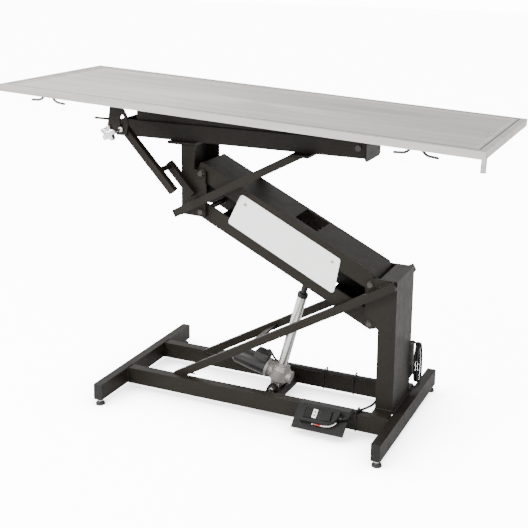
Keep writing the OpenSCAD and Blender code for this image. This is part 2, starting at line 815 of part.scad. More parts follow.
module lead_nut() {
    color("#b08d4a") actuator_frame() translate([0, 0, rod_from - 18]) difference() {
        cylinder(d = tube_d - 4 - 2 * fit, h = 18);
        translate([0, 0, -1]) cylinder(d = 12 + fit, h = 20);
    }
}
module actuator_rod() {
    top = act_l - rod_end_h;
    color("#3a3937") actuator_frame() difference() {
        translate([0, 0, rod_from]) cylinder(d = rod_d, h = top - rod_from);
        translate([0, 0, rod_from - 1]) cylinder(d = 14, h = top - rod_from - 30);
    }
}
// Eye with a slot across it, which takes up the arc of the upper arm
module rod_end() {
    half = 25;
    play = 11;
    slot_h = act_pin_d + 3.4;
    color("#2f2e2c") actuator_frame() translate([0, 0, act_l]) difference() {
        union() {
            span([-half, -9, -14], [half, 9, 13]);
            translate([0, 0, -rod_end_h]) cylinder(d1 = 18, d2 = 22, h = 13);
        }
        span([-play, -10, -slot_h / 2], [play, 10, slot_h / 2]);
        for (s = [-1, 1]) bar_y([s * play, 0], slot_h, -10, 10);
    }
}

left_foot_rail();
right_foot_rail();
front_side_rail();
rear_side_rail();
rail_end_caps();
actuator_crossmember();
actuator_base_pin();
column();
front_base_brace();
rear_base_brace();
brace_crossbar();
column_pivot_bolts();
control_box();
mains_inlet();
switch_cable();
motor_cable();
slack_cable();
cable_ties();
switch_tray();
foot_switch_housing();
levelling_nuts();
levelling_foot_1();
levelling_foot_2();
levelling_foot_3();
levelling_foot_4();
foot_rocker();
lower_arm();
lower_arm_bushes();
upper_arm();
upper_arm_bushes();
side_panel();
panel_screws();
actuator_top_pin();
lift_post();
top_beam();
beam_end_plates();
front_post_brace();
rear_post_brace();
post_pivot_bolts();
strut_bracket();
strut_cross_rod();
clamp_strut();
tilt_hinge_pin();
tabletop();
deck_board();
tilt_frame();
tilt_quadrant();
lift_grip();
drain_flange();
drain_spout();
rope_cleats();
tilt_knob();
knob_stud();
actuator_gearbox();
actuator_motor();
actuator_tube();
actuator_spindle();
actuator_rod();
lead_nut();
rod_end();
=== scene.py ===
import json
import math
import random
import bpy
from mathutils import Matrix, Vector


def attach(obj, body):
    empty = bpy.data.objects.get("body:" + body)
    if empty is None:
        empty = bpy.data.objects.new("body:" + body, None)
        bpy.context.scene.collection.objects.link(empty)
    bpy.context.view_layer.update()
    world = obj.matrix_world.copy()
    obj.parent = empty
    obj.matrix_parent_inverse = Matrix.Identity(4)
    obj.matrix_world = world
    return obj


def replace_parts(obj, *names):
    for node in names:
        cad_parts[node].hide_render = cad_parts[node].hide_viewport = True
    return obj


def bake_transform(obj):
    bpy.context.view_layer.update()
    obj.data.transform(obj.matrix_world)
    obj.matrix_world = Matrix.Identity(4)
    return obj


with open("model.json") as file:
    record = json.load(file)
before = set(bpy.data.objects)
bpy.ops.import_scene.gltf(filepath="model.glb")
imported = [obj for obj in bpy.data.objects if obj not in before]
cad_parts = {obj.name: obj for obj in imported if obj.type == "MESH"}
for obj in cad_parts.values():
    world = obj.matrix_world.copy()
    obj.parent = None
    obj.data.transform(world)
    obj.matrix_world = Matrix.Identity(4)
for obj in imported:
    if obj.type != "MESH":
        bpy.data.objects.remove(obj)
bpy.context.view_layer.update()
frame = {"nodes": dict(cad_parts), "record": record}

PI = math.pi
MM = 0.001
SHARP = math.radians(38)   # edges sharper than this are rounded, or else split
nodes = frame["nodes"]


# ---------------------------------------------------------------- node helpers

def new_material(name):
    """A material, its node tree and its shader."""
    m = bpy.data.materials.new(name)
    m.use_nodes = True
    nt = m.node_tree
    return m, nt, nt.nodes["Principled BSDF"]


def coords(nt, scale=(1, 1, 1)):
    """Object coordinates, so that a pattern stays on its piece."""
    tc = nt.nodes.new("ShaderNodeTexCoord")
    mp = nt.nodes.new("ShaderNodeMapping")
    mp.inputs["Scale"].default_value = scale
    nt.links.new(tc.outputs["Object"], mp.inputs["Vector"])
    return mp.outputs["Vector"]


def noise(nt, vec, scale, detail=4.0, rough=0.55):
    n = nt.nodes.new("ShaderNodeTexNoise")
    n.inputs["Scale"].default_value = scale
    n.inputs["Detail"].default_value = detail
    n.inputs["Roughness"].default_value = rough
    nt.links.new(vec, n.inputs["Vector"])
    return n.outputs["Fac"]


def remap(nt, value, lo, hi, a=0.25, b=0.75):
    """value from a..b to lo..hi, clamped."""
    r = nt.nodes.new("ShaderNodeMapRange")
    r.inputs["From Min"].default_value = a
    r.inputs["From Max"].default_value = b
    r.inputs["To Min"].default_value = lo
    r.inputs["To Max"].default_value = hi
    nt.links.new(value, r.inputs["Value"])
    return r.outputs["Result"]


def blend_colour(nt, fac, c1, c2):
    m = nt.nodes.new("ShaderNodeMix")
    m.data_type = "RGBA"
    m.inputs["A"].default_value = (*c1, 1)
    m.inputs["B"].default_value = (*c2, 1)
    nt.links.new(fac, m.inputs["Factor"])
    return m.outputs["Result"]


def bump(nt, bsdf, height, strength, distance):
    b = nt.nodes.new("ShaderNodeBump")
    b.inputs["Strength"].default_value = strength
    b.inputs["Distance"].default_value = distance
    nt.links.new(height, b.inputs["Height"])
    nt.links.new(b.outputs["Normal"], bsdf.inputs["Normal"])


def coated(name, c1, c2, rough, spread=0.06, peel=0.25, grain=900.0, metallic=0.0, coat=0.0, spec=0.5):
    """Paint, powder coat, plastic or rubber: broad tone changes and a fine grain."""
    m, nt, b = new_material(name)
    v = coords(nt)
    broad = remap(nt, noise(nt, v, 9.0, 5.0), 0.0, 1.0)
    nt.links.new(blend_colour(nt, broad, c1, c2), b.inputs["Base Color"])
    fine = noise(nt, v, grain, 3.0)
    nt.links.new(remap(nt, noise(nt, v, 30.0, 4.0), rough - spread, rough + spread), b.inputs["Roughness"])
    b.inputs["Metallic"].default_value = metallic
    b.inputs["Specular IOR Level"].default_value = spec
    b.inputs["Coat Weight"].default_value = coat
    b.inputs["Coat Roughness"].default_value = 0.12
    bump(nt, b, fine, peel, 0.00025)
    return m


def brushed(name, c1, c2, rough, along=(3, 260, 260), strength=0.12, spread=0.07, aniso=0.35,
            streak=(1.4, 5.0, 5.0), slope_shade=False):
    """Metal with long fine scratches along one axis; with the slope option, gentle slopes get a painted shade, picked
    by the tilt of their normal.
    """
    m, nt, b = new_material(name)
    v = coords(nt, along)
    lines = noise(nt, v, 4.0, 6.0, 0.6)
    broad = noise(nt, coords(nt, streak), 2.2, 4.0)
    tone = blend_colour(nt, remap(nt, broad, 0, 1, 0.3, 0.7), c1, c2)
    # Painted shade: gentle slopes, found from the tilt of the true normal, take a dark colour
    if slope_shade:
        side = nt.nodes.new("ShaderNodeSeparateXYZ")
        nt.links.new(nt.nodes.new("ShaderNodeNewGeometry").outputs["True Normal"], side.inputs["Vector"])
        unshaded = nt.nodes.new("ShaderNodeMath")
        unshaded.operation = "MAXIMUM"
        nt.links.new(remap(nt, side.outputs["Z"], 0, 1, 0.984, 0.993), unshaded.inputs[0])
        nt.links.new(remap(nt, side.outputs["Z"], 1, 0, 0.90, 0.94), unshaded.inputs[1])
        slope_shade_mix = nt.nodes.new("ShaderNodeMix")
        slope_shade_mix.data_type = "RGBA"
        # the colour of the painted shade
        slope_shade_mix.inputs["A"].default_value = (0.17, 0.15, 0.13, 1)
        nt.links.new(tone, slope_shade_mix.inputs["B"])
        nt.links.new(unshaded.outputs["Value"], slope_shade_mix.inputs["Factor"])
        tone = slope_shade_mix.outputs["Result"]
    nt.links.new(tone, b.inputs["Base Color"])
    nt.links.new(remap(nt, lines, rough - spread, rough + spread), b.inputs["Roughness"])
    b.inputs["Metallic"].default_value = 1.0
    b.inputs["Anisotropic"].default_value = aniso
    bump(nt, b, lines, strength, 0.0002)
    return m


MAT = {
    "powder_coat": coated("powder_coat", (0.0100, 0.0079, 0.0056), (0.0132, 0.0107, 0.0079), 0.42, 0.06, 0.45,
                          1300, spec=0.17),
    # the stainless carries painted shade on the gentle slopes of the tabletop's dish
    "stainless": brushed("stainless", (0.60, 0.565, 0.53), (0.76, 0.725, 0.69), 0.34, streak=(0.9, 13.0, 13.0),
                         slope_shade=True),
    "board": coated("board", (0.055, 0.036, 0.028), (0.075, 0.050, 0.040), 0.62, 0.06, 0.3, 500),
    "black_plastic": coated("black_plastic", (0.005, 0.005, 0.005), (0.009, 0.0088, 0.0085), 0.34, 0.05, 0.3,
                            1600, spec=0.3),
    "rubber_pad": coated("rubber_pad", (0.014, 0.014, 0.014), (0.024, 0.023, 0.023), 0.62, 0.06, 0.3, 900),
    "cable_black": coated("cable_black", (0.006, 0.006, 0.006), (0.010, 0.010, 0.0095), 0.46, 0.05, 0.15, 900,
                          spec=0.22),
    "dark_bolt": coated("dark_bolt", (0.040, 0.037, 0.034), (0.060, 0.055, 0.050), 0.40, 0.06, 0.2, 1200, 0.6),
    "bright_pin": brushed("bright_pin", (0.50, 0.49, 0.47), (0.60, 0.59, 0.57), 0.34, (260, 3, 260)),
    "bush_bronze": brushed("bush_bronze", (0.50, 0.38, 0.20), (0.62, 0.48, 0.26), 0.38, (40, 40, 40)),
    "bush_dark": coated("bush_dark", (0.012, 0.011, 0.011), (0.018, 0.017, 0.016), 0.45, 0.05, 0.2, 1200),
    "white_panel": coated("white_panel", (0.93, 0.93, 0.92), (0.95, 0.95, 0.945), 0.34, 0.04, 0.12, 700),
    "cleat_black": coated("cleat_black", (0.012, 0.012, 0.013), (0.018, 0.018, 0.018), 0.26, 0.04, 0.1, 900, 0.0, 0.3),
    "knob_bright": coated("knob_bright", (0.80, 0.79, 0.78), (0.88, 0.87, 0.86), 0.18, 0.05, 0.05, 400, 1.0),
    "cast_grey": coated("cast_grey", (0.24, 0.225, 0.21), (0.36, 0.34, 0.32), 0.50, 0.08, 0.9, 420, 0.55),
    "motor_black": coated("motor_black", (0.016, 0.015, 0.015), (0.024, 0.023, 0.022), 0.33, 0.05, 0.2, 1200),
    "tube_silver": brushed("tube_silver", (0.70, 0.69, 0.67), (0.80, 0.79, 0.775), 0.30, (260, 260, 3), 0.08),
    "rod_dark": coated("rod_dark", (0.020, 0.020, 0.019), (0.032, 0.031, 0.030), 0.30, 0.05, 0.1, 900, 0.7),
}
RED = coated("lamp_red", (0.42, 0.022, 0.012), (0.50, 0.030, 0.016), 0.22, 0.03, 0.05, 500, 0.0, 0.4)
# Black for print, and for painted shade in the screws' slots
PRINT_AND_SHADE = coated("print_and_shade_black", (0.010, 0.010, 0.010), (0.014, 0.014, 0.014), 0.50, 0.03, 0.05, 500)
# Painted shade for the motor's vents, where the openings would be dark
VENT_SHADE = coated("vent_shade_dark", (0.006, 0.006, 0.006), (0.009, 0.009, 0.009), 0.7, 0.03, 0.05, 500)

# ---------------------------------------------------------------- the CAD nodes

DISH_EDGE = math.radians(8)   # the tabletop's dish meets its rim at more than this
SOFT_EDGE = {                 # width of the rounded edges in millimetres, where it isn't 0.5
    "tabletop": 1.2, "foot_switch_housing": 4.0, "foot_rocker": 2.4, "control_box": 3.0, "actuator_gearbox": 1.8,
    "actuator_motor": 1.6, "switch_tray": 0.8, "rail_end_caps": 0.8, "top_beam": 0.9, "upper_arm": 1.2,
    "lower_arm": 1.2, "column": 1.2, "lift_post": 1.2, "levelling_foot_1": 1.0, "levelling_foot_2": 1.0,
    "levelling_foot_3": 1.0, "levelling_foot_4": 1.0, "clamp_strut": 1.4, "strut_bracket": 1.4,
    "front_base_brace": 1.4, "rear_base_brace": 1.4, "front_post_brace": 1.4, "rear_post_brace": 1.4,
    "left_foot_rail": 1.6, "right_foot_rail": 1.6, "front_side_rail": 1.6, "rear_side_rail": 1.6,
}


def soften(o, width_mm, segments=3):
    """Round the sharp edges of an object."""
    bv = o.modifiers.new("edges", "BEVEL")
    bv.width = width_mm * MM
    bv.segments = segments
    bv.limit_method = "ANGLE"
    bv.angle_limit = SHARP
    bv.harden_normals = True
    bv.use_clamp_overlap = True


for item in frame["record"]["subparts"]:
    o = nodes[item["node"]]
    o.data.materials.clear()
    o.data.materials.append(MAT[item["material_slot"]])
    o.data.shade_smooth()
    if item["node"] == "tabletop":
        o.data.set_sharp_from_angle(angle=DISH_EDGE)
    soften(o, SOFT_EDGE.get(item["node"], 0.5), 3 if item["node"] in SOFT_EDGE else 2)


# ---------------------------------------------------------------- mesh helpers

def piece(name, verts, faces, body, slot, mat=None, smooth=True, edge=0.0, segments=2):
    """A new mesh piece that rides on body; edge is the width of its softened edges in millimetres."""
    me = bpy.data.meshes.new(name)
    me.from_pydata([tuple(v) for v in verts], [], faces)
    me.update()
    o = bpy.data.objects.new(name, me)
    bpy.context.scene.collection.objects.link(o)
    me.materials.append(mat or MAT[slot])
    if smooth:
        me.shade_smooth()
    if edge:
        soften(o, edge, segments)
    else:
        me.set_sharp_from_angle(angle=SHARP)
    if body:
        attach(o, body)
    return o


def joined(parts):
    """Several (verts, faces) pairs as one."""
    verts, faces = [], []
    for v, f in parts:
        k = len(verts)
        verts += list(v)
        faces += [tuple(i + k for i in q) for q in f]
    return verts, faces


def placed(part, m):
    """A (verts, faces) pair moved by a matrix."""
    return [m @ Vector(p) for p in part[0]], part[1]


def cuboid(lo, hi):
    """A box between two corners, in millimetres."""
    (x0, y0, z0), (x1, y1, z1) = lo, hi
    v = [(x, y, z) for x in (x0, x1) for y in (y0, y1) for z in (z0, z1)]
    f = [(0, 1, 3, 2), (4, 6, 7, 5), (0, 4, 5, 1), (2, 3, 7, 6), (0, 2, 6, 4), (1, 5, 7, 3)]
    return [Vector(p) * MM for p in v], f


def lathe(profile, n=40):
    """A solid of revolution about +Z: profile is a list of (radius, height) in millimetres."""
    verts, faces, rings = [], [], []
    for r, z in profile:
        if r < 1e-6:
            rings.append([len(verts)])
            verts.append(Vector((0, 0, z)) * MM)
        else:
            rings.append(list(range(len(verts), len(verts) + n)))
            verts += [Vector((r * math.cos(2 * PI * k / n), r * math.sin(2 * PI * k / n), z)) * MM
                      for k in range(n)]
    for a, b in zip(rings, rings[1:]):
        for k in range(n):
            q = [a[k % len(a)], a[(k + 1) % len(a)], b[(k + 1) % len(b)], b[k % len(b)]]
            q = [i for j, i in enumerate(q) if i not in q[:j]]
            if len(q) > 2:
                faces.append(tuple(q))
    return verts, faces


def prism(outline, z0, z1):
    """An outline in the XY plane, in millimetres, extruded from z0 to z1."""
    n = len(outline)
    verts = [Vector((x, y, z)) * MM for z in (z0, z1) for x, y in outline]
    faces = [tuple(range(n - 1, -1, -1)), tuple(range(n, 2 * n))]
    faces += [(k, (k + 1) % n, n + (k + 1) % n, n + k) for k in range(n)]
    return verts, faces


def rounded(outline, r, steps=6):
    """The outline with each corner rounded to radius r."""
    out = []
    n = len(outline)
    for i in range(n):
        p0, p, p1 = (Vector(outline[j % n]) for j in (i - 1, i, i + 1))
        a, b = (p0 - p).normalized(), (p1 - p).normalized()
        half = math.acos(max(-1, min(1, a.dot(b)))) / 2
        d = r / math.tan(half)
        c = p + (a + b).normalized() * (r / math.sin(half))
        s, e = p + a * d - c, p + b * d - c
        a0 = math.atan2(s.y, s.x)
        sweep = (math.atan2(e.y, e.x) - a0 + PI) % (2 * PI) - PI
        out += [(c.x + r * math.cos(a0 + sweep * k / steps), c.y + r * math.sin(a0 + sweep * k / steps))
                for k in range(steps + 1)]
    return out


def curve(points, steps):
    """A smooth path through points, with steps pieces between each two."""
    p = [Vector(q) for q in points]
    out = []
    for i in range(len(p) - 1):
        a, b, c, d = p[max(i - 1, 0)], p[i], p[i + 1], p[min(i + 2, len(p) - 1)]
        for k in range(steps):
            t = k / steps
            out.append(0.5 * (2 * b + (c - a) * t + (2 * a - 5 * b + 4 * c - d) * t ** 2
                              + (3 * b - a - 3 * c + d) * t ** 3))
    return out + [p[-1]]


def tube(path, radius, n=14, ends="round", wave=None):
    """A round tube along path, in millimetres. wave(i) scales the radius at ring i."""
    path = [Vector(p) for p in path]
    rings = []
    side = None
    count = len(path)
    for i, p in enumerate(path):
        d = (path[min(i + 1, count - 1)] - path[max(i - 1, 0)]).normalized()
        if side is None:
            side = d.cross(Vector((0, 0, 1)) if abs(d.z) < 0.9 else Vector((1, 0, 0))).normalized()
        side = (side - d * side.dot(d)).normalized()
        rings.append((p, d, side.copy(), d.cross(side), radius * (wave(i) if wave else 1)))
    if ends == "round":
        def cap(ring, sign):
            p, d, s, t, r = ring
            return [(p + d * sign * r * math.sin(a), d, s, t, r * math.cos(a))
                    for a in (PI / 8, PI / 4, 3 * PI / 8)]
        rings = cap(rings[0], -1)[::-1] + rings + cap(rings[-1], 1)
    verts, faces = [], []
    for p, d, s, t, r in rings:
        verts += [(p + (s * math.cos(2 * PI * k / n) + t * math.sin(2 * PI * k / n)) * r) * MM for k in range(n)]
    for i in range(len(rings) - 1):
        for k in range(n):
            a, b = i * n + k, i * n + (k + 1) % n
            faces.append((a, b, b + n, a + n))
    last = (len(rings) - 1) * n
    faces.append(tuple(range(n - 1, -1, -1)))
    faces.append(tuple(range(last, last + n)))
    return verts, faces


def frame_at(point, z_axis, x_hint=(1, 0, 0)):
    """A matrix at point, in millimetres, whose Z is z_axis."""
    z = Vector(z_axis).normalized()
    x = Vector(x_hint)
    x = (x - z * x.dot(z)).normalized()
    y = z.cross(x)
    m = Matrix((x, y, z)).transposed().to_4x4()
    m.translation = Vector(point) * MM
    return m


def turned(point, deg):
    """The frame of an arm, of the tabletop or of the actuator: at point, turned about Y."""
    return Matrix.Translation(Vector(point) * MM) @ Matrix.Rotation(math.radians(deg), 4, "Y")


# ---------------------------------------------------------------- shared sizes, from the CAD

ARM = 26.25             # slope of the arms, in degrees
ARM_L = 613             # between the pivots of an arm
PIVOT_X, PIVOT_Z = 398, 454
PIVOT_GAP = 119         # from the upper pivot down to the lower one
P_UP = (PIVOT_X, 0, PIVOT_Z)
P_LOW = (PIVOT_X, 0, PIVOT_Z - PIVOT_GAP)
Q_X = PIVOT_X - ARM_L * math.cos(math.radians(ARM))
Q_UP = (Q_X, 0, PIVOT_Z + ARM_L * math.sin(math.radians(ARM)))
Q_LOW = (Q_X, 0, Q_UP[2] - PIVOT_GAP)
ARM_WALL_Y = 74.4       # outer face of the upper arm's walls
ARM_INNER_Y = 68.4      # and their inner face
PANEL_T = 3.0           # thickness of the cover panel
TILT = 2.75             # slope of the tabletop, in degrees
LIP_H = 21              # height of its folded edge
TOP = turned((LIP_H * math.sin(math.radians(TILT)) / 2, 0, 947), TILT)
UPPER = turned(P_UP, ARM)
LEAN = 14.859           # of the actuator, in degrees
ACT_Z = 48              # height of its lower pin
ACT = turned((72, 0, ACT_Z), LEAN)
MOTOR_Z = 44            # axis of the motor, in the actuator's frame
MOTOR_END = -162
KNOB_AT = (-362, -255, 862)   # inner face of the tilt clamp's knob
PLATE_Y = 85.4          # outer face of the column's side plates
SWITCH_LEAN = math.radians(38)
SWITCH_EDGE = (281, -133.4, 69.6)   # upper edge of the foot switch's plate
SWITCH_DOWN = 32        # from that edge down the plate to the housing's middle
SWITCH = (Matrix.Translation(Vector(SWITCH_EDGE) * MM) @ Matrix.Rotation(SWITCH_LEAN, 4, "X")
          @ Matrix.Translation((0, -SWITCH_DOWN * MM, 0)))

# ---------------------------------------------------------------- cables

SWITCH_ROUTE = [
    (351.2, -162.2, 61), (357, -162, 61.5), (364, -158, 65), (370, -149, 71), (375, -138, 74),
    (380, -122, 73.6), (389, -106, 73.6), (402, -88, 76), (413, -66, 80), (416, 0, 84),
    (416, 66, 84), (418, 90, 87), (430, 102, 94), (440, 106, 103), (440, 106, 112),
]
MOTOR_ROUTE = [
    (24, 20.5, 141), (24, 32, 141), (22, 54, 136), (20, 76, 118), (24, 92, 94),
    (40, 102, 78), (70, 106, 74), (120, 104, 74), (200, 107, 74), (280, 105, 74),
    (350, 108, 74), (390, 110, 75), (412, 112, 83), (436, 115, 88), (456, 118, 98),
    (460, 118, 112),
]
SLACK_IN = [(468, 102, 216.3), (468, 102, 220), (471, 102.5, 225), (477, 104, 227), (481, 107, 225.5)]
SLACK_OUT = [(502, 112, 90), (496, 96, 84), (486, 82, 82), (478.6, 76, 82)]
LEAD_R = 3.4            # a little under the CAD's 3.5
LOOP_TURN = 900         # degrees: two and a half loops
LOOP_STEPS = 62


def loops():
    """The spare lead's loops, which lean as they pass from the inner one to the outer one."""
    out = []
    for i in range(LOOP_STEPS + 1):
        a = math.radians(90 - LOOP_TURN * i / LOOP_STEPS)
        rise = 62 + 6 * math.sin(math.radians(LOOP_TURN * i / LOOP_STEPS))
        out.append((483 + 18 * i / LOOP_STEPS, 114 + 20 * math.cos(a), 158 + rise * math.sin(a)))
    return out


def lead(name, points, steps, body):
    """A lead along its route."""
    return piece(name, *tube(curve(points, steps), LEAD_R, 16, "flat"), body, "cable_black")


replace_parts(lead("switch_lead", SWITCH_ROUTE, 9, "base"), "switch_cable")
# The motor's lead follows the actuator from the rear rail up to the motor
motor_lead = lead("motor_lead", MOTOR_ROUTE, 9, None)
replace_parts(motor_lead, "motor_cable")
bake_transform(motor_lead)
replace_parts(lead("slack_lead", SLACK_IN + loops()[::2] + SLACK_OUT, 6, "base"), "slack_cable")

# Glands where the leads enter the housings
GLAND = [(0, 0), (8.5, 0), (8.5, 5), (7, 6.5), (5.6, 12), (4.6, 14), (3.5, 14.6), (3.5, 15)]
for k, at in enumerate([SWITCH_ROUTE[-1], MOTOR_ROUTE[-1]]):
    piece(f"lead_gland_{k}", *placed(lathe([(r, z * 0.55) for r, z in GLAND]), frame_at(at, (0, 0, -1))),
          "base", "black_plastic")
piece("lead_gland_top",
      *placed(lathe([(r * 0.85, z * 0.3) for r, z in GLAND]), frame_at((468, 102, 216), (0, 0, 1))),
      "base", "black_plastic")
piece("lead_grommet", *placed(lathe([(3.6, 0), (7.5, 0), (7.5, 1.6), (6.2, 3), (3.6, 3)]),
                              frame_at((477.6, 76, 82), (1, 0, 0))), "base", "black_plastic")
for k in range(4):
    piece(f"switch_gland_rib_{k}",
          *placed(lathe([(3.5, 0), (6.4, 0), (6.8, 0.7), (6.4, 1.4), (3.5, 1.4)]),
                  SWITCH @ frame_at((62.5 + 2.1 * k, 4, 11), (1, 0, 0))), "base", "black_plastic")

# Heads of the cable ties
for k, (x, y, z) in enumerate([(190, 99, 58), (290, 99, 58), (380, -135.8, 60)]):
    piece(f"tie_head_{k}", *cuboid((x - 1, y - 4, z - 3), (x + 5, y, z + 3)), "base", "cable_black", edge=0.8)
    tail = prism(rounded([(-1.6, 0), (1.6, 0), (1.6, 16), (-1.6, 16)], 1.4), 0, 1.1)
    piece(f"tie_tail_{k}", *placed(tail, frame_at((x + 2, y - 2, z + 2), (0, -0.92, 0.4))), "base", "cable_black",
          edge=0.3)

# ---------------------------------------------------------------- bolts

HEX = [(math.cos(PI / 3 * k + PI / 6), math.sin(PI / 3 * k + PI / 6)) for k in range(6)]


def hex_head(flat_r, h, chamfer=1.2):
    """A hexagon head on z = 0 with a turned chamfer."""
    r = flat_r / math.cos(PI / 6)
    rings = [(r, 0), (r, h - chamfer), (r - chamfer, h)]
    verts, faces = [], []
    for q, z in rings:
        verts += [Vector((x * q, y * q, z)) * MM for x, y in HEX]
    for i in range(2):
        faces += [(i * 6 + k, i * 6 + (k + 1) % 6, i * 6 + 6 + (k + 1) % 6, i * 6 + 6 + k) for k in range(6)]
    faces += [tuple(range(5, -1, -1)), tuple(range(12, 18))]
    return verts, faces


WASHER_T = 1.8


def pivot_bolt(at):
    """A bolt through both side plates, with a washer, a head and a nut."""
    x, _, z = at
    left = frame_at((x, -PLATE_Y, z), (0, -1, 0), (0.9, 0, 0.4))
    right = frame_at((x, PLATE_Y, z), (0, 1, 0), (0.8, 0, 0.6))
    washer = lathe([(0, 0), (10.4, 0), (10.4, 1.4), (9.9, WASHER_T), (0, WASHER_T)], 48)
    shank = lathe([(0, 0), (8, 0), (8, 2 * PLATE_Y), (0, 2 * PLATE_Y)], 40)
    end = lathe([(0, 9), (5.6, 9), (5.6, 11.4), (4.6, 12.4), (0, 12.4)], 32)
    lift = Matrix.Translation((0, 0, WASHER_T * MM))
    return [placed(washer, left), placed(hex_head(8.2, 6.4), left @ lift), placed(washer, right),
            placed(hex_head(8.2, 7.6, 1.0), right @ lift), placed(end, right),
            placed(shank, frame_at((x, -PLATE_Y, z), (0, 1, 0)))]


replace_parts(piece("column_bolts", *joined(pivot_bolt(P_UP) + pivot_bolt(P_LOW)), "base", "dark_bolt", edge=0.3),
            "column_pivot_bolts")
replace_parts(piece("post_bolts", *joined(pivot_bolt(Q_UP) + pivot_bolt(Q_LOW)), "carriage", "dark_bolt", edge=0.3),
            "post_pivot_bolts")

# Jam nuts on the levelling studs, under the rails
FEET = {"front_left": (-408.5, -272), "rear_left": (-408.5, 272), "front_right": (494, -272), "rear_right": (494, 272)}
for n, (x, y) in FEET.items():
    piece(f"jam_nut_{n}", *placed(hex_head(8.2, 5.2, 0.8), frame_at((x, y, 12), (0, 0, 1), (1, 0.3, 0))),
          f"foot_{n}", "bright_pin", edge=0.25)

# ---------------------------------------------------------------- upper arm's end and tabletop's rim

def on_upper(y):
    """A prism's outline as X and Z of the upper arm's frame; it grows from y towards the front."""
    return UPPER @ Matrix.Translation((0, y * MM, 0)) @ Matrix.Rotation(PI / 2, 4, "X")


# The arm's top plate bends down at the column, between the tapered ends of its walls
ARM_END = [(-10, 26), (-9.4, 26), (16.5, 5.7), (19, 8.8), (-8, 30), (-10, 30)]
piece("arm_end_fold", *placed(prism(ARM_END, 0, 2 * ARM_INNER_Y), on_upper(ARM_INNER_Y)), "upper_arm_set",
      "powder_coat", edge=0.6)


def band(x, y, w, z0, z1):
    """A flat closed frame, w wide inwards from the half sizes x and y."""
    verts = [Vector((sx * (x - i * w), sy * (y - i * w), z)) * MM
             for i in (0, 1) for z in (z0, z1) for sx, sy in ((-1, -1), (1, -1), (1, 1), (-1, 1))]
    faces = []
    for k in range(4):
        n = (k + 1) % 4
        faces += [(k, n, 4 + n, 4 + k), (8 + n, 8 + k, 12 + k, 12 + n),
                  (4 + k, 4 + n, 12 + n, 12 + k), (n, k, 8 + k, 8 + n)]
    return verts, faces


# A dark band of painted shade along the inner edge of the rim, where it folds down into the dish
RIM_X, RIM_Y = 730.5, 262.0         # half sizes of its outer edge
CREASE_SHADE = coated("crease_shade", (0.050, 0.043, 0.036), (0.090, 0.080, 0.070), 0.55, 0.06, 0.2, 700)
piece("rim_crease_shade", *placed(band(RIM_X, RIM_Y, 4.6, -0.7, 0.12), TOP), "tilt_top", "stainless", CREASE_SHADE,
      smooth=False)

# ---------------------------------------------------------------- white panel

PANEL = rounded([(-471, -92), (-82, -95), (-113, 11), (-472, 13)], 9)
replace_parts(piece("cover_panel", *placed(prism(PANEL, 0, PANEL_T), on_upper(-ARM_WALL_Y)), "upper_arm_set",
                  "white_panel", edge=0.9, segments=3), "side_panel")
SCREW = [(2.3, -10), (2.3, 0), (4.9, 0), (4.9, 0.9), (4.2, 2.0), (2.9, 2.7), (1.2, 3.0), (0, 3.0)]
heads, slot_shades = [], []
for x, a in ((-446, 0.6), (-132, 1.2)):
    at = (x, -ARM_WALL_Y - PANEL_T, -9)
    heads.append(placed(lathe(SCREW, 36), UPPER @ frame_at(at, (0, -1, 0))))
    # The cross slot of each head: two thin near-black bars of painted shade, laid on the head
    for c, d in ((math.cos(a), math.sin(a)), (-math.sin(a), math.cos(a))):
        slot_shades.append(placed(cuboid((-3.0, -0.45, 2.45), (3.0, 0.45, 3.12)),
                               UPPER @ frame_at(at, (0, -1, 0), (c, 0, d))))
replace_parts(piece("cover_screws", *joined(heads), "upper_arm_set", "bright_pin"), "panel_screws")
piece("screw_slot_shades", *joined(slot_shades), "upper_arm_set", "bright_pin", PRINT_AND_SHADE, smooth=False)

# ---------------------------------------------------------------- rope cleats

CLEAT_X, CLEAT_Y = (-577, 566), 259.4
HORN = [(12, -20.5), (17, -24), (24, -30.5), (31, -34.4), (40, -35.8), (58, -37.2)]
for k, (x, y) in enumerate([(x, y) for x in CLEAT_X for y in (-CLEAT_Y, CLEAT_Y)]):
    horns = []
    for s in (-1, 1):
        pts = [(x + reach * s, y, z) for reach, z in HORN]
        horns.append(placed(tube(curve(pts, 7), 3.5, 16), TOP))
    foot = rounded([(x - 24, y - 5), (x + 24, y - 5), (x + 24, y + 5), (x - 24, y + 5)], 3)
    plate = placed(prism(foot, -LIP_H, -18.5), TOP)
    o = piece(f"cleat_{k}", *joined(horns + [plate]), "tilt_top", "cleat_black")
    if k == 0:
        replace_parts(o, "rope_cleats")

# ---------------------------------------------------------------- clamp knob

def star(n=150, lobes=5):
    """The knob's outline: angle and radius."""
    out = []
    for k in range(n):
        a = 2 * PI * k / n
        c = 0.5 + 0.5 * math.cos(lobes * a)
        out.append((a, 15.2 + 10.6 * c ** 0.75))
    return out


def knob_mesh():
    """The knob: its outline scaled at each of several heights."""
    levels = [(0, 0.86), (1.2, 0.95), (3, 1.0), (14, 1.0), (16.4, 0.96), (18, 0.86), (18.6, 0.72), (18.2, 0.45),
              (19.6, 0.34)]
    shape = star()
    n = len(shape)
    verts, faces = [Vector((0, 0, 0))], []
    for z, f in levels:
        verts += [Vector((r * f * math.cos(a), r * f * math.sin(a), z)) * MM for a, r in shape]
    verts.append(Vector((0, 0, 20.2)) * MM)
    faces += [(0, 1 + (k + 1) % n, 1 + k) for k in range(n)]
    for i in range(len(levels) - 1):
        low, high = 1 + i * n, 1 + (i + 1) * n
        faces += [(low + k, low + (k + 1) % n, high + (k + 1) % n, high + k) for k in range(n)]
    b = 1 + (len(levels) - 1) * n
    faces += [(b + k, b + (k + 1) % n, len(verts) - 1) for k in range(n)]
    return verts, faces


